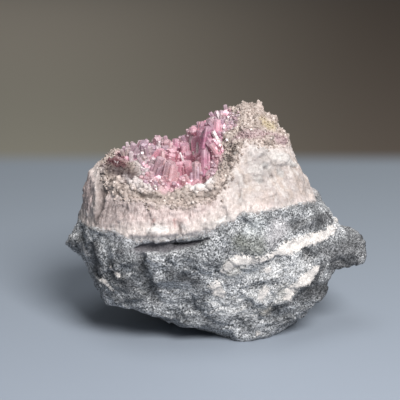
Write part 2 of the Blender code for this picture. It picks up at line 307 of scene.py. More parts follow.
class Finish:
    # a material under construction
    def __init__(self, name, **constants):
        self.material = bpy.data.materials.new(name)
        self.material.use_nodes = True
        self.tree = self.material.node_tree
        self.shader = self.tree.nodes["Principled BSDF"]
        for socket, value in constants.items():
            self.shader.inputs[socket.replace("_", " ")].default_value = value
        where = self.node("TexCoord", out="Object")
        self.place = self.node("VectorMath", {"operation": "SCALE"}, {"Vector": where, "Scale": 1 / mm})

    def node(self, kind, settings={}, sockets={}, out=0):
        made = self.tree.nodes.new("ShaderNode" + kind)
        for name, value in settings.items():
            if name == "stops":
                self.ramp(made.color_ramp, value)
            else:
                setattr(made, name, value)
        for name, value in sockets.items():
            self.plug(made.inputs[name], value)
        return Wire(made.outputs[out])

    def plug(self, entry, value):
        if isinstance(value, Wire):
            self.tree.links.new(value.socket, entry)
        elif isinstance(value, tuple) and len(value) == 3 and entry.type == "RGBA":
            entry.default_value = (*value, 1)
        else:
            entry.default_value = value

    def ramp(self, ramp, stops):
        while len(ramp.elements) < len(stops):
            ramp.elements.new(1)
        for element, (place, colour) in zip(ramp.elements, stops):
            element.position = place
            element.color = (*colour, 1)

    def marked(self, name):
        return self.node("Attribute", {"attribute_name": name}, out="Fac")

    def stretched(self, x, y, z):
        return self.node("VectorMath", {"operation": "MULTIPLY"}, {0: self.place, 1: (1 / x, 1 / y, 1 / z)})

    def noise(self, size, detail=2, roughness=0.5, place=None):
        sockets = {"Vector": place or self.place, "Scale": 1 / size, "Detail": detail, "Roughness": roughness}
        return self.node("TexNoise", {}, sockets, "Fac")

    def cells(self, size, out="Color", place=None, **settings):
        return self.node("TexVoronoi", settings, {"Vector": place or self.place, "Scale": 1 / size}, out)

    def ownNumber(self, cells):
        return self.node("SeparateColor", {}, {0: cells}, "Red")

    def blend(self, share, first, second, how="MIX"):
        # settings come first, because the sockets of a Mix node follow its data type
        made = self.tree.nodes.new("ShaderNodeMix")
        made.data_type = "RGBA"
        made.blend_type = how
        for index, value in ((0, share), (6, first), (7, second)):
            self.plug(made.inputs[index], value)
        return Wire(made.outputs[2])

    def step(self, value, low, high):
        sockets = {"Value": value, "From Min": low, "From Max": high}
        return self.node("MapRange", {"interpolation_type": "SMOOTHSTEP"}, sockets)

    def over(self, colour, name, tint, most, ragged, low, high, how="MIX"):
        # lays a tint over the places marked by name, with a ragged edge from low to high
        share = self.step(self.marked(name) + ragged, low, high) * most
        return self.blend(share, colour, tint, how)

    def bump(self, height, depth, strength=1.0, normal=None):
        sockets = {"Height": height, "Distance": depth * mm, "Strength": strength}
        if normal:
            sockets["Normal"] = normal
        return self.node("Bump", {}, sockets)

    def feed(self, **wires):
        for socket, value in wires.items():
            self.plug(self.shader.inputs[socket.replace("_", " ")], value)
        return self.material


def srgb(red, green, blue):
    # a colour as a picture program shows it, from 0 to 255, in the renderer's own light values
    shares = [c / 255 for c in (red, green, blue)]
    return tuple(c / 12.92 if c <= 0.04045 else ((c + 0.055) / 1.055) ** 2.4 for c in shares)


milky = {"Subsurface_Scale": 0.0008, "Subsurface_Radius": (1, 1, 1)}  # how far light enters the calcite


# Floor, lights and camera

studio = {
    "floorHalf": 4,  # metres
    # painted light: the table a little darker further back, the wall behind lighter at the left and further
    # away
    "floorNear": srgb(140, 148, 160),
    "floorFar": srgb(136, 144, 153),
    "wallLeft": [srgb(134, 130, 117), srgb(192, 181, 164)],
    "wallRight": [srgb(85, 75, 65), srgb(97, 82, 67)],
    "tableEnds": (196, 236),
    "cameraAt": (-5.03, -349.89, 149.905),
    "cameraTilt": 73,
    "lens": 100,
    "roomColour": (0.92, 0.96, 1.0, 1),
    "roomLight": 0.14,
    # name, place, size, power and colour of each lamp, in metres and watts
    "lamps": [("key", (0.2, -0.42, 0.48), 0.27, 6.9, (1.0, 0.99, 0.98)),
              ("top", (-0.05, -0.1, 0.8), 0.4, 1.8, (0.97, 0.98, 1.0))],
    "lampsAim": (0, 0, 0.035),
}


def makeFloor():
    finish = Finish("floor", Roughness=0.6)
    across, depth = (finish.node("SeparateXYZ", {}, {0: finish.place}, axis) for axis in "XY")
    # painted light: the wall behind is lighter to the left and further back, and the table a little darker
    # further back
    sideways = finish.step(across / (depth + 350), -0.2, 0.2)
    table = finish.blend(finish.step(depth, -150, 200), studio["floorNear"], studio["floorFar"])
    away = finish.step(depth, 200, 900)
    left, right = (finish.blend(away, *studio[side]) for side in ("wallLeft", "wallRight"))
    behind = finish.blend(sideways, left, right)
    finish.feed(Base_Color=finish.blend(finish.step(depth, *studio["tableEnds"]), table, behind))
    mesh = bpy.data.meshes.new("floor")
    half = studio["floorHalf"]
    corners = [(-half, -half, 0), (half, -half, 0), (half, half, 0), (-half, half, 0)]
    mesh.from_pydata(corners, [], [(0, 1, 2, 3)])
    mesh.materials.append(finish.material)
    addObject("floor", mesh)


def addLamp(name, at, size, power, colour):
    lamp = bpy.data.lights.new(name, "AREA")
    lamp.size = size
    lamp.energy = power
    lamp.color = colour
    holder = addObject(name, lamp)
    holder.location = at
    holder.rotation_euler = (Vector(studio["lampsAim"]) - Vector(at)).to_track_quat("-Z", "Y").to_euler()


def makeStudio():
    scene = bpy.context.scene
    scene.view_settings.view_transform = "Standard"
    world = bpy.data.worlds.new("room")
    world.use_nodes = True
    world.node_tree.nodes["Background"].inputs["Color"].default_value = studio["roomColour"]
    world.node_tree.nodes["Background"].inputs["Strength"].default_value = studio["roomLight"]
    scene.world = world
    for lamp in studio["lamps"]:
        addLamp(*lamp)
    makeFloor()
    lens = bpy.data.cameras.new("camera")
    lens.lens = studio["lens"]
    lens.clip_start = 0.01
    camera = addObject("camera", lens)
    camera.location = Vector(studio["cameraAt"]) * mm
    camera.rotation_euler = (math.radians(studio["cameraTilt"]), 0, 0)
    scene.camera = camera
    print("studio ready")


# Grey rock: sugary grains, pale veins and patches

rock = {
    "voxel": 0.5,
    "swell": 0.2,
    "soften": 5,
    "seed": 11,
    "wave": (0.25, 8),  # depth and size
    # depth, size, tilt and seed step of the broken faces, from large to small
    "breaks": [(0.3, 6.5, 1.7, 10), (0.13, 2.6, 1.7, 20), (0.05, 1.2, 1.6, 25)],
    "pits": (0.4, 3.2),  # depth and size
    "veinStands": 0.3,
    "creaseDepth": 0.5,
    "rimStands": 0.5,
    # the way out of each hollow and how far from the middle its back comes
    "crackOut": ((-0.109, -0.994, 0), 28.2),
    "pocketOut": ((-0.707, 0.707, 0), 27.5),
    # how far the edges of the veins and of the other patches wander
    "veinRagged": 0.7,
    "patchRagged": 1.5,
    "pocket": [[(-12.7, 19.8, 39, 3.5)]],
    # marks on the surface, each along bands of points: x, y, z and half width
    "patches": {
        "whiteVeins": [
            [(1.8, -27.5, 28.1, 0.8), (4.8, -29.2, 31.3, 1.9), (7.2, -29.4, 32.6, 1.9),
             (13.4, -28.5, 32.6, 1.2), (18.1, -26.7, 33.6, 1.3), (22.2, -25.2, 35.0, 2.2),
             (28.0, -19.5, 35.6, 2.1), (33.1, -15.6, 35.5, 1.8), (36.6, -11.8, 36.4, 1.7),
             (39.2, -3.4, 36.6, 1.4), (38.0, 6.0, 34.0, 1.3), (36.0, 14.0, 31.0, 0.7)],
            [(32.5, -17.8, 25.6, 0.9), (30.6, -18.5, 24.6, 1.9), (28.8, -18.9, 22.9, 2.8),
             (26.7, -20.4, 22.3, 2.0)],
            [(26.7, -20.4, 22.3, 1.4), (24.1, -21.1, 20.5, 1.7), (22.9, -21.0, 17.6, 1.6),
             (23.6, -19.4, 14.8, 0.7)],
            [(-0.8, -26.0, 22.8, 1.6), (1.4, -25.0, 20.0, 1.7)],
            [(-42.0, -11.2, 30.2, 1.1), (-41.0, -12.8, 29.0, 0.9)],
            [(0.3, -25.7, 22.8, 1.8), (0.5, -25.5, 20.1, 1.7)],
            [(15.5, -23.5, 20.6, 1.5), (14.5, -23.3, 18.0, 1.3)], [(-3, -27.6, 30.4, 1.2)],
            [(16, -25.6, 28, 1.3)], [(-33, -23.2, 27.6, 0.9), (-30.6, -24.2, 25.6, 0.8)],
            [(13.8, -17.3, 3.4, 1.0)], [(-41.8, -11.3, 31.2, 1.0), (-41.1, -12.7, 28.6, 0.8)],
            [(-35.8, -20.1, 22.5, 1.0), (-32.9, -21.8, 20.0, 0.6)],
            [(-20, 27, 22, 1.4), (-6, 31, 26, 1.9), (8, 31, 23, 1.3), (20, 26, 25, 0.8)],
            [(-38, 14, 14, 1.0), (-30, 22, 12, 1.6), (-22, 24, 9, 0.9)],
            [(36, 10, 17, 1.3), (31, 18, 14, 1.7)],
        ],
        "beige": [
            [(5.7, -29.1, 30.6, 3.0), (4.9, -28.3, 28.3, 2.4)], [(22, -22.4, 19, 3.2)], [(16, -22, 11, 3.0)],
        ],
        "paleGreen": [[(11.7, -28.6, 43.1, 2.6), (10.2, -28.7, 42.1, 2.0)], [(-24, 26, 33, 2.8)]],
        "greyPink": [[(19.0, -25.1, 40.9, 3.4), (17.1, -27.2, 39.1, 2.6)], [(20, 26, 36, 3.0)]],
        "olive": [[(7.4, -29.0, 38.6, 2.8), (13, -29.3, 37.6, 3.2)]],
        "litEdge": [
            [(-33, -22, 33, 0.8), (-24, -27.6, 33.4, 1.4), (-14, -28.5, 34, 1.6), (-6, -28.5, 35.5, 1.0)],
        ],
        # painted shade in the crack, whose back is also brought forward
        "crack": [
            [(-31, -25.8, 34.0, 0.4), (-28.8, -26.2, 34.3, 0.9), (-25.1, -26.4, 35.0, 1.4),
             (-20.6, -26.2, 35.5, 2.1), (-15.9, -26.6, 35.8, 2.1), (-11.2, -27.4, 36.6, 1.5),
             (-8.1, -27.6, 37.3, 1.1), (-5.0, -27.5, 38.4, 0.8), (-0.5, -29.1, 40.7, 0.4)],
            [(-10.5, -28.4, 39.4, 0.3), (-6.6, -28.6, 40.2, 0.5), (-3.5, -28.8, 41.2, 0.5),
             (-0.5, -28.3, 41.7, 0.3)],
        ],
        # painted shade along the crease, which is also dented
        "crease": [
            [(-24.5, -27.5, 34.0, 0.8), (-23.5, -27.5, 32.6, 1.6), (-22.1, -26.1, 26.5, 2.0),
             (-20.1, -24.3, 20.8, 2.0), (-18.4, -22.2, 15.9, 1.6)],
        ],
        "ledge": [
            [(-34, -19.4, 38.4, 1.4), (-29.8, -23.6, 38.2, 2.2), (-24, -25.5, 37.6, 2.6),
             (-18, -26, 38.4, 2.2), (-12, -28, 38.8, 1.4)],
        ],
        "mottled": [
            [(2, -27, 26, 2.5), (10, -26.5, 27, 4.0), (20, -24, 28, 4.5), (28, -20, 27, 3.5)],
            [(6, -24, 18, 3.0), (14, -22.5, 19, 4.0), (22, -22, 18, 4.5)], [(-8, -26, 33, 2.6)],
            [(0, -24, 17, 3.0), (5, -22.6, 13.4, 3.4), (12, -20.8, 11, 3.0)],
        ],
        "shade": [
            [(25, -18.5, 17, 2.4), (31, -16.5, 17, 2.8), (37, -13.5, 18.5, 3.0)],
            [(38, -10, 27, 6), (47, -4, 27, 6)], [(-32, -23, 28, 2.4), (-28, -24.6, 22, 3.0)],
            [(24, -21, 17, 2.4), (31, -17.5, 22, 2.4), (35, -13, 30, 3.2)],
            [(26, -20, 30, 2.0), (33, -15, 31, 2.6)], [(-37.6, -17, 32, 3.0), (-36.8, -18, 24, 2.6)],
            [(17.4, -20, 11.6, 2.4), (23, -19.6, 15, 2.2)],
            [(22, -22, 41, 1.6), (27, -19, 40.5, 2.4), (33, -14, 40.5, 2.4), (38, -8, 40, 2.0)],
            [(-6, -27, 37, 1.2), (0, -28.5, 36.5, 1.4), (5, -28.5, 36, 1.2)],
            [(-14, -27.5, 29, 1.6), (-6, -26.5, 24, 2.0)],
        ],
    },
    "greys": [(0, srgb(14, 15, 16)), (0.22, srgb(70, 71, 72)), (0.4, srgb(130, 131, 133)),
              (0.58, srgb(166, 167, 169)), (0.74, srgb(198, 199, 200)), (0.88, srgb(240, 240, 240))],
    # dark and light grains of each patch, how far it covers and where its edge begins and ends
    "paints": [
        ("ledge", (srgb(96, 97, 102), srgb(148, 149, 154)), 0.65, (-1.4, 1.6)),
        ("litEdge", (srgb(176, 176, 178), srgb(230, 230, 232)), 0.2, (-1.4, 1.6)),
        ("mottled", (srgb(150, 149, 147), srgb(250, 248, 246)), 0.65, (-0.8, 2.6)),
        ("olive", (srgb(64, 66, 60), srgb(120, 122, 112)), 0.66, (-1.6, 1.6)),
        ("greyPink", (srgb(160, 156, 158), srgb(212, 208, 209)), 0.55, (-2.2, 2.6)),
        ("paleGreen", (srgb(168, 171, 170), srgb(224, 227, 226)), 0.6, (-2.0, 2.4)),
        ("beige", (srgb(160, 155, 146), srgb(212, 207, 198)), 0.5, (-1.2, 1.4)),
        ("whiteVeins", (srgb(190, 184, 180), srgb(226, 219, 213)), 0.92, (-0.4, 0.6)),
    ],
}


def rockFinish():
    finish = Finish("sugary grey rock", Specular_IOR_Level=0.4)
    coarse = finish.ownNumber(finish.cells(0.4))
    fine = finish.ownNumber(finish.cells(0.3))
    speck = coarse * 0.5 + fine * 0.5
    grain = finish.node("ValToRGB", {"stops": rock["greys"]}, {0: speck})
    tone = finish.blend(finish.step(finish.noise(7, 4), 0.36, 0.62), srgb(178, 179, 180), srgb(255, 255, 255))
    colour = finish.blend(1.0, grain, tone, "MULTIPLY")
    ragged = (finish.noise(1.6, 4, 0.65) - 0.5) * 2.6
    # painted shade: the crease and the places marked shade are darkened
    for name, most in (("crease", 0.75), ("shade", 0.9)):
        colour = finish.over(colour, name, srgb(128, 128, 130), most, ragged * 0.6, -1.6, 1.8, "MULTIPLY")
    grainy = finish.step(speck, 0.2, 0.8)
    ragged += (coarse - 0.5) * 1.2
    for name, tints, most, (low, high) in rock["paints"]:
        wander = rock["veinRagged"] if name == "whiteVeins" else rock["patchRagged"]
        colour = finish.over(colour, name, finish.blend(grainy, *tints), most, ragged * wander, low, high)
    colour = finish.over(colour, "toBed", srgb(212, 200, 194), 0.4, ragged * 0.8, 0.9, -0.2)
    # painted shade, darker in the crack
    colour = finish.over(colour, "crack", srgb(84, 80, 85), 0.8, ragged * 0.5, -0.7, 1.1)
    bumps = finish.bump(coarse, 0.14, 0.5)
    bumps = finish.bump(finish.noise(0.4, 3, 0.6), 0.14, 0.4, bumps)
    return finish.feed(Base_Color=colour, Roughness=0.62 + fine * 0.3, Normal=bumps)


def makeRock():
    piece = fineSkin("grey_rock", "grey_matrix", rock)
    points, normals, seed = pointsOf(piece), normalsOf(piece), rock["seed"]
    toBed = heightsAbove(points, "calcite_bed", 4)
    depth, size = rock["wave"]
    relief = depth * layered(points, size, seed)
    for depth, size, tilt, further in rock["breaks"]:
        relief += depth * facets(points, size, seed + further, tilt)
    depth, size = rock["pits"]
    relief -= depth * eased(layered(points, size, seed + 40), 0.65, 1.2)
    relief += rock["veinStands"] * eased(insideAny(points, rock["patches"]["whiteVeins"]), -0.3, 0.6)
    relief -= rock["creaseDepth"] * eased(insideAny(points, rock["patches"]["crease"]), -1.0, 1.8)
    relief += rock["rimStands"] * eased(1.3 - toBed, 0, 1.3)
    relief *= eased(points[:, 2], 0.3, 2.0)  # the resting face stays flat
    points += normals * relief[:, None]
    shallower(points, rock["patches"]["crack"], *rock["crackOut"])
    shallower(points, rock["pocket"], *rock["pocketOut"])
    points[:, 2] = np.maximum(points[:, 2], 0)
    putPoints(piece, points)
    markPatches(piece, points, rock["patches"])
    mark(piece, "toBed", toBed)
    stand(piece, "grey_matrix", rockFinish())


# Calcite bed: pale pinkish fibres that stand across it, cleaved white to the right

bed = {
    "voxel": 0.45,
    "swell": 0.25,
    "soften": 4,
    "seed": 31,
    "flakeStands": 0.6,
    "chipStands": 0.35,
    "seamDepth": 1.0,
    "patches": {
        "cleaved": [
            [(-18.2, -26.3, 41.3, 2.0)], [(-9.3, -27.0, 43.2, 1.2), (-8.7, -28.3, 41.4, 1.2)],
            [(-3.5, -27.7, 43.1, 1.3), (1.1, -27.5, 44.3, 1.7), (4.7, -27.4, 45.9, 1.5)],
            [(12, -16, 64, 2.5), (17, -15.5, 61, 4.0), (12, -19, 57, 3.0), (21, -13, 60, 2.6)],
            [(-20, 24, 46, 3)], [(12, 24, 48, 3.4)],
        ],
        "pinkish": [
            [(-34, -17, 44, 5), (-22, -22, 46, 5), (-10, -25, 46, 4.5), (-2, -24, 49, 3)],
            [(-40, -8, 46, 6), (-42, 2, 48, 6)], [(16, -24, 51, 4), (26, -13, 51, 4)],
        ],
        "brown": [
            [(-9.6, -24.5, 48.2, 1.3)], [(-2.3, -24.6, 50.0, 1.4), (-4.4, -24.0, 50.2, 0.8)],
            [(-18.3, -22.6, 49.2, 1.6), (-15.5, -22.8, 49.0, 1.0)], [(-25, -20.4, 49.4, 1.2)],
            [(-34, -14.6, 50, 1.4), (-37.5, -12, 48, 1.5), (-37.8, -14.4, 43, 1.1)],
        ],
        "red": [[(-13.0, -26.1, 44.5, 0.5), (-12.4, -26.3, 41.8, 0.4)], [(-19, -24.4, 44, 0.8)]],
        "shaded": [
            [(-36, -16.5, 43, 5), (-30, -19, 45, 4.5), (-25, -21, 46, 2.6)],
            [(-42, -2, 44, 4), (-43, 6, 46, 5)],
        ],
        "massive": [
            [(8, -20, 57, 6), (18, -18, 56, 8.5), (27, -10, 54, 8)], [(6, -23, 50, 3.5), (20, -20, 50.5, 6)],
        ],
        "flake": [
            [(17.6, -15, 61, 0.9), (20.5, -13.2, 61, 1.6), (23.4, -11.8, 59.4, 1.7), (25.6, -9.6, 57.8, 1.0)],
        ],
        "whiteChips": [
            [(-20.8, -25.8, 41, 1.0), (-18, -26.4, 41.3, 1.5), (-15.8, -26.6, 41.7, 1.1)],
            [(-10.2, -26.9, 43.1, 0.8), (-8.7, -27.1, 43.2, 0.9), (-9.3, -25.7, 44.7, 0.7)],
            [(0.5, -27.2, 44.2, 0.9), (2.9, -27.4, 44.9, 1.2), (5.1, -26.6, 45.4, 1.1)],
            [(-41, -10.4, 41.6, 1.0)],
        ],
        "wedge": [
            [(-26, -26, 38.5, 1.2), (-23.5, -26.5, 37.6, 2.0), (-20.4, -27, 37.8, 2.3),
             (-15.8, -28.2, 38.0, 2.5), (-11.1, -28.6, 38.7, 2.2), (-7, -28.6, 40.0, 1.7),
             (-3, -28, 41.3, 1.1)],
        ],
        # painted shadow in the seams, which are also dented
        "seam": [
            [(21.4, -12.8, 58.2, 0.3), (23.0, -11.8, 57.4, 0.5), (25.6, -9.4, 56.6, 0.4)],
            [(17.4, -16.4, 59.4, 0.4), (18.6, -15.4, 58.8, 0.8)],
            [(14.8, -18.4, 58.9, 0.4), (16.3, -18.3, 57.3, 0.6), (18.2, -19.4, 54.7, 0.3)],
            [(-37.2, -6, 54.5, 1.0), (-36.8, -10.4, 52.8, 1.5), (-35.8, -13.8, 49.5, 1.7),
             (-36.4, -15.5, 45.5, 1.5), (-37.3, -16.6, 42, 1.0)],
            [(-41.5, -4, 54, 0.5), (-40.6, -8, 53.6, 0.7), (-39.6, -11, 52.4, 0.5)],
            [(-12.4, -26.7, 44.0, 0.3), (-11.6, -27.1, 42.3, 0.7), (-10.8, -27.7, 40.4, 0.8)],
        ],
        "grey": [
            [(20, -17, 57.6, 1.8)], [(15, -18.4, 59.5, 1.5)], [(11, -20.5, 53, 1.3)],
            [(13.5, -20, 55.2, 1.2)], [(-38, -13.8, 44, 1.5), (-38, -12, 48, 1.2)],
        ],
    },
    # tint of each patch, how far it covers and how ragged its edge is
    "paints": [
        ("brown", srgb(142, 120, 112), 0.6, 0.8), ("red", srgb(178, 120, 114), 0.5, 0.8),
        # the seam tint is painted shadow
        ("grey", srgb(138, 137, 136), 0.55, 0.8), ("seam", srgb(106, 96, 93), 0.75, 0.35),
        ("flake", srgb(196, 192, 189), 0.85, 0.3), ("whiteChips", srgb(218, 214, 211), 0.9, 0.45),
        ("wedge", srgb(94, 93, 98), 0.92, 0.4),
    ],
}


def bedFinish():
    finish = Finish("fibrous calcite", Subsurface_Weight=0.15, Specular_IOR_Level=0.45, **milky)
    fibre = finish.noise(1, 3, 0.55, finish.stretched(0.62, 0.62, 4.6))
    thread = finish.noise(1, 2, 0.6, finish.stretched(0.3, 0.3, 2.4))
    ragged = (finish.noise(2.6, 4, 0.6) - 0.5) * 3.2
    strand = finish.step(fibre * 0.55 + thread * 0.45, 0.36, 0.64)
    cream = finish.blend(strand, srgb(184, 172, 167), srgb(212, 202, 198))
    pink = finish.blend(strand, srgb(172, 153, 150), srgb(208, 193, 190))
    colour = finish.over(cream, "pinkish", pink, 1, ragged, -1.5, 3.0)
    # the massive part to the right has no fibres: it is clouded, with fine grey veils
    massive = finish.step(finish.marked("massive") + ragged, -1.0, 2.2)
    cloud = finish.step(finish.noise(3.4, 4, 0.6), 0.4, 0.6)
    clouded = finish.blend(cloud, srgb(180, 171, 168), srgb(182, 169, 161))
    veil = finish.step(finish.noise(1.1, 4, 0.7), 0.42, 0.7)
    clouded = finish.blend(veil * 0.65, clouded, srgb(150, 143, 141))
    chips = finish.ownNumber(finish.cells(1.3, place=finish.stretched(1, 1, 1.8)))
    clouded = finish.blend((chips > 0.75) * 0.6, clouded, srgb(200, 195, 192))
    colour = finish.blend(massive * 0.92, colour, clouded)
    white = finish.blend(finish.step(chips, 0.1, 0.9), srgb(158, 152, 150), srgb(190, 185, 182))
    colour = finish.over(colour, "cleaved", white, 0.8, ragged * 0.9, -0.6, 1.2)
    # painted shade on the left of the band: darker fibres
    shadedStrands = finish.blend(strand, srgb(116, 105, 103), srgb(168, 156, 153))
    colour = finish.over(colour, "shaded", shadedStrands, 0.85, ragged, -1.5, 4.0)
    for name, tint, most, reach in bed["paints"]:
        colour = finish.over(colour, name, tint, most, ragged * reach, -0.5, 0.7)
    speck = finish.ownNumber(finish.cells(0.5))
    rocky = finish.blend(speck, srgb(100, 100, 102), srgb(220, 216, 213))
    colour = finish.over(colour, "toRock", rocky, 0.7, ragged * 0.5, 1.2, 0.0)
    sandy = finish.blend(speck, srgb(142, 128, 121), srgb(204, 192, 185))
    colour = finish.over(colour, "toDruse", sandy, 0.6, ragged * 0.8, 2.2, 0.0)
    colour = finish.blend((speck > 0.93) * 0.3, colour, srgb(134, 120, 114))
    # a sugary sparkle over it all, one tone to a grain
    shade = finish.blend(speck, srgb(224, 221, 219), srgb(255, 255, 255))
    colour = finish.blend(0.6 + massive * 0.4, colour, shade, "MULTIPLY")
    bumps = finish.bump((fibre + thread * 0.5) * (1 - massive * 0.8), 0.4, 0.5)
    bumps = finish.bump(chips + speck * 0.4, 0.3, 0.55, bumps)
    bumps = finish.bump(finish.noise(0.45, 3, 0.6), 0.2, 0.4, bumps)
    return finish.feed(Base_Color=colour, Roughness=0.45 + speck * 0.3, Normal=bumps)


def makeBed():
    piece = fineSkin("calcite_fibres", "calcite_bed", bed)
    points, normals, seed = pointsOf(piece), normalsOf(piece), bed["seed"]
    toRock, toDruse = heightsAbove(points, "grey_matrix", 4), heightsAbove(points, "druse_crust", 4)
    inside = {name: insideAny(points, lines) for name, lines in bed["patches"].items()}
    cleaved, massive = eased(inside["cleaved"], -1, 1.5), eased(inside["massive"], -1, 2)
    upright = 0.12 * layered(points, (1.9, 1.9, 5), seed)
    upright += 0.13 * layered(points, (0.7, 0.7, 2.4), seed + 5, 2)
    upright += 0.12 * facets(points, (1.0, 1.0, 2.0), seed + 15, 1.8)
    flakes = 0.42 * facets(points, (4.6, 4.6, 3.4), seed + 10, 1.8)
    flakes += 0.2 * facets(points, 1.5, seed + 20, 1.8)
    relief = upright * (1 - 0.85 * np.maximum(cleaved, massive)) + flakes * (0.4 + 0.7 * cleaved)
    relief += bed["flakeStands"] * eased(inside["flake"], -0.15, 0.15)
    relief += bed["chipStands"] * eased(inside["whiteChips"], -0.2, 0.2)
    relief -= bed["seamDepth"] * eased(inside["seam"], -0.5, 0.8)
    relief += 0.5 * eased(1.2 - toRock, 0, 1.2) + 0.35 * eased(1.2 - toDruse, 0, 1.2)
    points += normals * relief[:, None]
    shallower(points, rock["pocket"], *rock["pocketOut"])
    putPoints(piece, points)
    markPatches(piece, points, bed["patches"])
    mark(piece, "toRock", toRock)
    mark(piece, "toDruse", toDruse)
    stand(piece, "calcite_bed", bedFinish())
    return piece


# Druse: sugar of small crystals, tan on the peak, grey and stained at the left, white on the lip

druse = {
    "voxel": 0.42,
    "swell": 0.2,
    "soften": 4,
    "seed": 51,
    "crystalSeed": 7,
    "crystalSize": (0.27, 0.62),
    "knobSize": (0.4, 1.1),
    "lipKnobs": 1.3,  # times as large on the white lip
    # how many, out of how many tries, and how far apart
    "sugar": {"most": 6500, "tries": 13000, "apart": 0.5, "seed": 81},
    "strays": {"most": 16000, "tries": 16000, "apart": 0.55, "seed": 82},
    "knobs": {"most": 240, "tries": 60000, "apart": 0.62, "seed": 83},
    "knobLines": [
        [(-7.5, -20.6, 53, 0.8), (-5.5, -20.8, 53.5, 1.6), (-3.2, -20.8, 54.1, 1.9),
         (-1.2, -20.6, 54.8, 0.8)],
        [(-28, -14, 54, 1.0), (-25, -16.6, 52.8, 1.6), (-21.5, -17.4, 52.2, 1.4)],
    ],
    "patches": {
        "dim": [[(-36, -4, 57, 4), (-28, -9, 55.4, 4.5)]],
        "whiteLip": [
            [(-8.6, -20, 52.8, 0.8), (-6, -20.4, 53.4, 1.8), (-3.2, -20.5, 54.2, 2.1), (-0.4, -20, 55, 1.2)],
        ],
        "yellow": [[(14.8, -5.6, 70.4, 1.8), (17.5, -5.5, 69.4, 1.6)]],
        "mauve": [[(5, -14, 68, 1.6), (10, -12, 67.6, 2.2), (16, -9.5, 66.4, 2.2), (21, -7.5, 64.6, 2.0)]],
        "red": [[(-33, -2, 57.4, 2.8), (-31, -5, 56.6, 2.8)], [(-30.5, 1, 58.6, 2.4)]],
        "stained": [
            [(-33, -9, 56.2, 1.5), (-30.5, -9, 56, 2.6), (-28, -11.5, 55, 3.0), (-27.4, -14.2, 54.2, 1.8)],
        ],
        "dark": [
            [(6.2, -16.3, 65.4, 1.0), (4.5, -18, 62.0, 1.2), (4.8, -18.6, 58.5, 1.0), (5.6, -20, 56, 0.9),
             (2, -22.6, 54.2, 0.8)],
            [(-33, -13.5, 53.6, 0.9), (-29, -17, 51.6, 0.8), (-22, -20.2, 50.6, 0.9),
             (-17, -21.4, 50.4, 0.9)],
            [(-12, -21.6, 50.6, 0.7), (-8.4, -22.2, 51.6, 0.6), (-5, -23.2, 51.0, 0.9),
             (-1, -23.6, 51.8, 0.9)],
        ],
        "pale": [
            [(-24, -4, 56.6, 2.6), (-22.5, -10.9, 54.6, 2.8), (-26, -15.5, 53.4, 2.4),
             (-21, -17.2, 52.2, 2.4)],
            [(-37, -9, 54.4, 1.2), (-36, -3, 56, 1.0)],
        ],
        "pinkish": [
            [(-27.9, 1.9, 59, 5.0), (-20, 4, 58, 5.0)], [(3, -2, 70, 3.4), (4.5, -6.6, 69, 2.8)],
            [(-9, 12, 60, 4), (-2, 8, 67, 4)], [(0, -14, 60, 3.0)], [(-18.5, -12.5, 54.5, 4.0)],
            [(-16, -18, 52.4, 2.4), (-11, -19, 52.4, 1.6)],
        ],
    },
    # tint of each patch, how far it covers and where its edge begins and ends
    "paints": [
        ("pinkish", srgb(200, 160, 170), 0.7, (-1.0, 1.6)),
        ("pale", srgb(186, 178, 177), 0.7, (-1.0, 1.4)),
        ("mauve", srgb(156, 132, 136), 0.75, (-0.8, 1.0)),
        ("red", srgb(98, 56, 64), 0.9, (-1.4, 1.2)),
        ("stained", srgb(80, 66, 69), 0.85, (-1.4, 1.2)),
        ("yellow", srgb(180, 166, 126), 0.5, (-1.4, 1.6)),
        ("whiteLip", srgb(232, 226, 224), 0.9, (-0.8, 0.8)),
        ("dark", srgb(70, 60, 55), 0.75, (-0.5, 0.7)),
    ],
}


def druseColour(finish, own):
    # own is a number from 0 to 1 that differs from grain to grain
    tan = finish.blend(own, srgb(146, 132, 125), srgb(192, 178, 170))
    colour = finish.blend(finish.step(finish.noise(3.4, 3), 0.42, 0.62) * 0.6, tan, srgb(150, 138, 130))
    ragged = (finish.noise(1.8, 4, 0.6) - 0.5) * 3.0
    for name, tint, most, (low, high) in druse["paints"]:
        colour = finish.over(colour, name, tint, most, ragged, low, high)
    return finish.over(colour, "dim", srgb(182, 174, 174), 0.85, ragged, -1.5, 2.5, "MULTIPLY")


def druseFinish():
    finish = Finish("tan druse", Specular_IOR_Level=0.5)
    own = finish.ownNumber(finish.cells(0.8))
    # painted shade: darker soft patches standing in for the hollows between the grains
    hollow = finish.step(finish.noise(1.4, 3, 0.6), 0.3, 0.6)
    colour = finish.blend((1 - hollow) * 0.35, druseColour(finish, own), srgb(116, 102, 95))
    bumps = finish.bump(own, 0.3, 0.5)
    bumps = finish.bump(finish.noise(0.5, 3, 0.6), 0.25, 0.5, bumps)
    return finish.feed(Base_Color=colour, Roughness=0.45 + own * 0.3, Normal=bumps)


def sugarFinish():
    finish = Finish("druse crystals", Specular_IOR_Level=0.35, Subsurface_Weight=0.4, **milky)
    own = finish.marked("own")
    return finish.feed(Base_Color=druseColour(finish, own), Roughness=0.22 + own * 0.25)


def makeDruse():
    piece = fineSkin("druse_lumps", "druse_crust", druse)
    points, normals, seed = pointsOf(piece), normalsOf(piece), druse["seed"]
    lumpy = eased(insideAny(points, druse["patches"]["pale"]), -3, 1)
    relief = 0.6 * layered(points, 3.6, seed)
    _, edge, _ = grains(points, 2.0, seed + 10)
    relief += (0.5 + 0.5 * lumpy) * (eased(edge, 0, 0.5) - 0.6)
    relief += 0.14 * facets(points, 1.1, seed + 20, 1.6)
    points += normals * relief[:, None]
    putPoints(piece, points)
    markPatches(piece, points, druse["patches"])
    stand(piece, "druse_crust", druseFinish())
    return piece


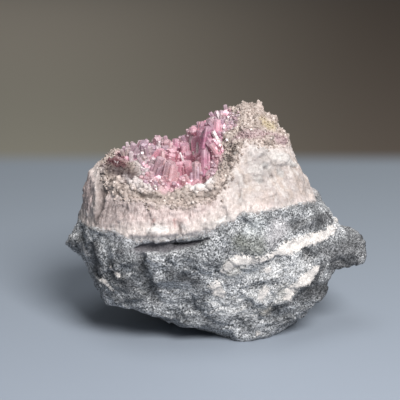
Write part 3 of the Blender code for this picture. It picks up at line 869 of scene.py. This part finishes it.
def makeSugar(crust, wall):
    # small leaning rhombs all over the druse and scattered past its edge, each one flat-faced
    chance = random.Random(druse["crystalSeed"])

    def free(points, dice):
        # clear of the pink crystals, and sparse at the front left, where the druse is knobbly
        knobbly = (points[:, 0] < 1) & (points[:, 1] < -6)
        clear = heightsAbove(points, "pink_crystals", 0.6) > 0.59
        return clear & (~knobbly | (dice.random(len(points)) < 0.22))

    def pastEdge(points, dice):
        reach = abs(dice.normal(0, 0.9, len(points))) + 0.3
        return heightsAbove(points, "druse_crust", 9) < reach

    places = spots(crust, druse["sugar"], free) + spots(wall, druse["strays"], pastEdge)
    verts, faces, own, feet = [], [], [], []
    for spot, way in places:
        size = chance.uniform(*druse["crystalSize"])
        lean = Vector([chance.gauss(0, 0.5) for _ in range(3)])
        upright = (way + lean).normalized().to_track_quat("Z", "Y").to_matrix()
        turn = Matrix.Rotation(chance.uniform(0, 6.3), 3, "Z")
        tall = chance.uniform(1.0, 1.9)
        base = len(verts)
        number = chance.random()
        # a rhomb that stands on a corner: a point, two rings of three, a point
        shape = [(0, 0, -size)]
        for level, start in ((-0.25, 0), (0.3, math.pi / 3)):
            for k in range(3):
                angle = start + k * math.tau / 3
                shape.append((size * math.cos(angle), size * math.sin(angle), size * level * tall))
        shape.append((0, 0, size * tall * 0.85))
        verts += [spot + upright @ turn @ Vector(corner) for corner in shape]
        for k in range(3):
            low, following, high, before = 1 + k, 1 + (k + 1) % 3, 4 + k, 4 + (k - 1) % 3
            faces.append([base + i for i in (0, following, high, low)])
            faces.append([base + i for i in (7, before, low, high)])
        own += [number] * 8
        feet += [spot] * 8
    piece = meshPiece("druse_sugar", verts, faces)
    mark(piece, "own", own)
    markPatches(piece, np.array([tuple(foot) for foot in feet]), druse["patches"])
    stand(piece, None, sugarFinish(), smooth=False)


def knobFinish():
    finish = Finish("white knobs", Subsurface_Weight=0.4, Specular_IOR_Level=0.4, **milky)
    soft = finish.noise(0.9, 3, 0.6)
    own = finish.marked("own")
    colour = finish.blend(0.08 + own * 0.22, druseColour(finish, own), srgb(214, 206, 206))
    colour = finish.blend(finish.step(soft, 0.5, 0.8) * 0.5, colour, srgb(140, 126, 121))
    return finish.feed(Base_Color=colour, Roughness=0.35 + soft * 0.3, Normal=finish.bump(soft, 0.3, 0.5))


def makeKnobs(crust):
    # round knobs, crowded together on the lip of the hollow and over its left side
    chance = random.Random(druse["crystalSeed"] + 1)

    def onLines(points, dice):
        return insideAny(points, druse["knobLines"]) > dice.normal(0, 0.5, len(points))

    ball = bmesh.new()
    bmesh.ops.create_icosphere(ball, subdivisions=2, radius=1)
    corners = [v.co.copy() for v in ball.verts]
    sides = [[v.index for v in f.verts] for f in ball.faces]
    ball.free()
    verts, faces, own = [], [], []
    for spot, way in spots(crust, druse["knobs"], onLines):
        onLip = insideAny(np.array([tuple(spot)]), druse["patches"]["whiteLip"])[0] > 0
        size = chance.uniform(*druse["knobSize"]) * chance.uniform(0.7, 1)
        size *= druse["lipKnobs"] if onLip else 1
        base = len(verts)
        verts += [spot - way * size * 0.25 + corner * size for corner in corners]
        faces += [[base + i for i in side] for side in sides]
        own += [chance.random()] * len(corners)
    piece = meshPiece("white_knobs", verts, faces)
    mark(piece, "own", own)
    points = pointsOf(piece)
    markPatches(piece, points, druse["patches"])
    putPoints(piece, points + normalsOf(piece) * (0.26 * layered(points, 0.8, 71, 2))[:, None])
    stand(piece, None, knobFinish())


# Pink crystals: the columns of the solid, finer, with smaller ones between them

crystals = {
    "seed": 23,
    "tipAngle": 0.70,  # between the three faces of a tip, as a cosine
    "sides": 18,  # corners around a large column; a small one has 6
    "slimmer": 0.85,  # the columns against those of the solid
    "length": 9,
    "companions": (7, 3),  # around a column of the solid and around one on the back wall
    "companionLength": 7,
    "companionWidth": (0.22, 0.5),  # against the column's
    "companionDrop": (0.3, 3.2),
    # strewn between the columns and over the edge of the druse; stretch is length over radius
    "small": {"most": 900, "tries": 14000, "apart": 0.85, "seed": 91,
              "radius": (0.35, 0.8), "stretch": (2.2, 4.4)},
    "loose": {"most": 650, "tries": 60000, "apart": 0.75, "seed": 92,
              "radius": (0.4, 0.85), "stretch": (1.3, 2.2)},
    "peakFrom": 66,
    "lowOnPeak": 0.55,
    "openMiddle": ((-13, -7), (-9.4, 1.4), (60.2, 99)),  # the part of the hollow that strewn tips keep out of
    "crustBack": 0.45,  # faces of the solid as near to the druse as this are its back
    "crustThick": 2.4,
    "crustVoxel": 0.4,
    "absorption": 16,
    "shades": [(0, srgb(172, 108, 138)), (0.3, srgb(240, 180, 197)), (0.55, srgb(208, 168, 170)),
               (0.8, srgb(186, 156, 174)), (0.9, srgb(184, 166, 162)), (1, srgb(222, 209, 211))],
    "looseLines": [[(-28.5, -1, 61.6, 1.4), (-22, 0, 62, 2.0), (-18, 7, 60.6, 2.4), (-13, 8, 60, 2.2)],
                   [(4.2, -6.3, 68.8, 2.4), (5, -4, 70, 2.4), (2.5, -1, 70.5, 2.6), (-1, -5, 69, 2.4)],
                   [(-18.5, -12.5, 54.5, 4.2)], [(-2.5, -15, 56.5, 2.6), (0, -10, 60.5, 2.4)]],
    # tip, radius, tint and sideways lean of larger ones on the back wall
    "wall": [((-9.0, 5.0, 61.3), 2.2, 0.28, 0), ((-12.9, 6.0, 62.4), 1.3, 0.1, 0),
             ((-14.6, 5.5, 61.4), 0.9, 0.5, 0), ((-11.3, 6.0, 61.1), 0.9, 0.2, 0),
             ((-5.7, 2.0, 62.4), 0.65, 0.95, 0), ((-7.5, 5.0, 64.0), 1.0, 0.85, 0),
             ((-4.7, -2.4, 67.5), 1.7, 0.12, -0.2), ((-2.2, -7.8, 69.7), 1.5, 0.0, 0.2),
             ((0.7, -4.2, 71.2), 1.3, 0.3, 0.1), ((0.1, 0.5, 72.9), 0.9, 0.85, -0.4),
             ((2.0, 0.5, 73.1), 0.8, 0.8, 0.1), ((-3.5, -10.6, 63.3), 1.5, 0.1, 0),
             ((-2.8, -9.6, 65.3), 1.0, 0.7, 0), ((-18.6, 7.0, 60.8), 0.6, 0.95, 0),
             ((-16.9, -5.6, 61.4), 0.9, 0.55, 0), ((-6.3, -12.2, 59.0), 1.2, 0.7, 0),
             ((-1.0, -10.2, 68.8), 0.8, 0.9, -0.5), ((-6.5, 1.6, 64.2), 1.2, 0.15, -0.1),
             ((-1.2, -3, 71.6), 0.8, 0.9, -0.6), ((-10.7, 7.5, 61.4), 0.8, 0.4, 0),
             ((-11.5, -2.5, 59.9), 0.4, 1, -0.35), ((-18.9, 1.0, 61.0), 0.45, 1, 0),
             ((-15.1, 1.5, 60.5), 0.4, 0.9, 0.1), ((-5.8, -2.0, 63.1), 0.45, 1, 0.05),
             ((-7.3, -1.0, 59.8), 0.4, 0.9, -0.2)],
    # tints from magenta 0, rose 0.3, salmon 0.55, lilac 0.8 and tan 0.9 to white 1, each around a place
    "tints": [((-12, -3, 58), 0.3), ((-7, -6, 57), 0.35), ((-1, -2, 65), 0.08), ((-6, 2, 61), 0.12),
              ((4.5, -5, 69.5), 0.78), ((1, -1, 70), 0.7), ((-25, 0, 60), 0.8), ((-17, 5, 60), 0.72),
              ((-18.5, -12, 55), 0.52), ((-3, -14, 57), 0.55), ((-8, -14, 55), 0.45), ((-8, 10, 62), 0.6),
              ((-25, -5, 57.5), 0.9), ((-22, -8, 56), 0.9), ((-22.5, -2, 58.5), 0.88), ((-18, -7, 57), 0.62)],
}


def columnsOf(node):
    # finds the columns of a solid by their tips, where three faces meet at one angle
    bm = solidOf(node)
    columns = []
    for vert in bm.verts:
        ways = []
        for face in vert.link_faces:
            if all(face.normal.dot(way) < 0.999 for way in ways):
                ways.append(face.normal.copy())
        if len(ways) != 3:
            continue
        pairs = [ways[0].dot(ways[1]), ways[1].dot(ways[2]), ways[2].dot(ways[0])]
        if max(abs(pair - crystals["tipAngle"]) for pair in pairs) > 0.02:
            continue
        axis = sum(ways, Vector()).normalized()
        if any((vert.co - face.calc_center_median()).dot(axis) < 0 for face in vert.link_faces):
            continue
        across = [(e.other_vert(vert).co - vert.co) for e in vert.link_edges]
        radius = max((gap - axis * gap.dot(axis)).length for gap in across) / mm
        turn = max(ways, key=lambda way: way.x)
        columns.append((vert.co / mm, axis, radius, turn))
    bm.free()
    return columns


def growColumn(parts, tip, axis, radius, length, chance, turn, tint):
    # a ribbed six-sided column that ends in three sloping faces; parts gathers verts, faces and tints
    verts, faces, tints = parts
    base = len(verts)
    sides = crystals["sides"] if radius > 0.9 else 6
    side = (turn - axis * turn.dot(axis)).normalized() if turn else axis.orthogonal().normalized()
    other = axis.cross(side)
    slope = 0.5 * chance.uniform(0.8, 1.2)
    ribs = [chance.uniform(0.93, 1.04) for _ in range(sides)]
    taper = chance.uniform(0.94, 1.0)
    rings = []
    for level, wide in ((-length, 1.0), (-0.35 * length, 1.0), (0, taper)):
        ring = []
        for k in range(sides):
            angle = k * math.tau / sides
            within = angle % (math.pi / 3) - math.pi / 6
            reach = radius * wide * math.cos(math.pi / 6) / math.cos(within) * ribs[k]
            across = side * math.cos(angle) * reach + other * math.sin(angle) * reach
            drop = 0
            if level == 0:
                drop = slope * max(math.cos(angle - k * math.tau / 3) for k in range(3)) * reach
            ring.append(len(verts) - base)
            verts.append(tip + axis * (level - drop) + across)
            tints.append((tint, 1 + level / length))
        rings.append(ring)
    verts.append(tip)
    tints.append((tint, 1))
    top = len(verts) - 1 - base
    faces.append([base + i for i in reversed(rings[0])])
    for low, high in zip(rings, rings[1:]):
        for k in range(sides):
            faces.append([base + i for i in (low[k - 1], low[k], high[k], high[k - 1])])
    for k in range(sides):
        faces.append([base + i for i in (rings[-1][k - 1], rings[-1][k], top)])


def crystalFinish():
    finish = Finish("pink calcite", Transmission_Weight=0.5, IOR=1.6, Emission_Strength=0.06)
    tint, height = finish.marked("tint"), finish.marked("height")
    colour = finish.node("ValToRGB", {"stops": crystals["shades"]}, {0: tint})
    # milky clouds, and paler tips: partly the crystals' own pale ends, partly painted highlight
    cloud = finish.step(finish.noise(1.6, 3, 0.6), 0.4, 0.7)
    colour = finish.blend(cloud * 0.25 + finish.step(height, 0.75, 1.0) * 0.25, colour, srgb(244, 222, 230))
    absorb = finish.tree.nodes.new("ShaderNodeVolumeAbsorption")
    absorb.inputs["Color"].default_value = (*srgb(250, 205, 220), 1)
    absorb.inputs["Density"].default_value = crystals["absorption"]
    finish.tree.links.new(absorb.outputs[0], finish.tree.nodes["Material Output"].inputs["Volume"])
    bumps = finish.bump(finish.noise(0.5, 3, 0.6), 0.1, 0.4)
    # painted glow: the crystals give off light of their own, more at their feet than their tips, standing in
    # for light that gathers between the columns
    glow = finish.node("VectorMath", {"operation": "SCALE"}, {0: colour, "Scale": 1.9 - height * 1.5})
    return finish.feed(Base_Color=colour, Emission_Color=glow, Roughness=0.24 + cloud * 0.2, Normal=bumps)


def crustFinish():
    # painted glow: the crust gives off light in its own colour, lifting the shade between the columns
    finish = Finish("pink crust", Subsurface_Weight=0.2, Emission_Strength=0.09, **milky)
    own = finish.ownNumber(finish.cells(0.8))
    colour = finish.blend(own, srgb(214, 160, 176), srgb(236, 204, 212))
    bumps = finish.bump(own, 0.3, 0.6)
    return finish.feed(Base_Color=colour, Emission_Color=colour, Roughness=0.4 + own * 0.3, Normal=bumps)


def makeCrystalCrust():
    # the layer that the crystals stand on: the solid's own back, thickened towards the hollow
    back = treeOf("druse_crust")
    bm = solidOf("pink_crystals")
    near = crystals["crustBack"] * mm
    front = [f for f in bm.faces if back.find_nearest(f.calc_center_median(), near)[0] is None]
    bmesh.ops.delete(bm, geom=front, context="FACES")
    for face in bm.faces:
        face.normal_flip()
    piece = pieceFrom(bm, "crystal_crust")
    thick = piece.modifiers.new("thick", "SOLIDIFY")
    thick.thickness = crystals["crustThick"] * mm
    thick.offset = 0.7
    evenFaces(piece, crystals["crustVoxel"])
    applyModifiers(piece)
    points, normals = pointsOf(piece), normalsOf(piece)
    relief = 0.3 * layered(points, 2.4, 61) + 0.2 * facets(points, 1.2, 65, 1.6)
    putPoints(piece, points + normals * relief[:, None])
    stand(piece, "pink_crystals", crustFinish())
    return piece


def tintAt(spot, chance):
    near = min(crystals["tints"], key=lambda zone: (Vector(zone[0]) - spot).length)
    return min(max(near[1] + chance.gauss(0, 0.08), 0), 1)


def growStanding(parts, chance, columns):
    # the columns of the solid and the larger ones on the back wall, each with companions at its foot
    aroundSolid, aroundWall = crystals["companions"]
    standing = [(tip, axis, radius * crystals["slimmer"], turn, tintAt(tip, chance), aroundSolid)
                for tip, axis, radius, turn in columns]
    for tip, radius, tint, lean in crystals["wall"]:
        axis = Vector((lean, 0.3, 1)).normalized()
        standing.append((Vector(tip), axis, radius, Vector((1, 0.3, 0)), tint, aroundWall))
    for tip, axis, radius, turn, tint, companions in standing:
        growColumn(parts, tip, axis, radius, crystals["length"], chance, turn, tint)
        for _ in range(companions + chance.randint(-1, 1)):
            angle = chance.uniform(0, math.tau)
            side = axis.orthogonal().normalized()
            away = side * math.cos(angle) + axis.cross(side) * math.sin(angle)
            aside, drop = radius * chance.uniform(0.75, 1.3), chance.uniform(*crystals["companionDrop"])
            slim = radius * chance.uniform(*crystals["companionWidth"])
            beside = tip + away * aside - axis * drop
            growColumn(parts, beside, axis, slim, crystals["companionLength"], chance, away, tint + 0.06)


def growStrewn(parts, chance, places, kind):
    # small crystals that lean out of their place and up
    for spot, way in places:
        radius = chance.uniform(*kind["radius"])
        length = radius * chance.uniform(*kind["stretch"])
        if spot.z > crystals["peakFrom"]:
            length *= crystals["lowOnPeak"]
        lean = Vector([chance.gauss(0, 0.2) for _ in range(3)]) + Vector((0, 0, 1.1))
        axis = (way + lean).normalized()
        tint = tintAt(spot, chance) + chance.choice((0, 0.05, 0.2))
        tip = spot + axis * length
        if all(low < part < high for part, (low, high) in zip(tip, crystals["openMiddle"])):
            continue
        growColumn(parts, tip, axis, radius, length + 0.8, chance, None, tint)


def makeCrystals(crust, lumps):
    chance = random.Random(crystals["seed"])
    parts = ([], [], [])
    columns = columnsOf("pink_crystals")
    print(len(columns), "columns found in the solid")
    growStanding(parts, chance, columns)

    def between(points, dice):
        away = [np.linalg.norm(np.cross(points - np.array(tip), np.array(axis)), axis=1) / radius
                for tip, axis, radius, _ in columns]
        return np.min(away, axis=0) > 0.75

    def onDruse(points, dice):
        return insideAny(points, crystals["looseLines"]) > dice.normal(0, 0.7, len(points))

    growStrewn(parts, chance, spots(crust, crystals["small"], between), crystals["small"])
    growStrewn(parts, chance, spots(lumps, crystals["loose"], onDruse), crystals["loose"])
    verts, faces, tints = parts
    piece = meshPiece("pink_columns", verts, faces)
    mark(piece, "tint", [pair[0] for pair in tints])
    mark(piece, "height", [pair[1] for pair in tints])
    stand(piece, None, crystalFinish(), smooth=False)


makeStudio()
makeRock()
bedPiece = makeBed()
drusePiece = makeDruse()
makeSugar(drusePiece, bedPiece)
makeKnobs(drusePiece)
crustPiece = makeCrystalCrust()
makeCrystals(crustPiece, drusePiece)

print("all pieces stand")
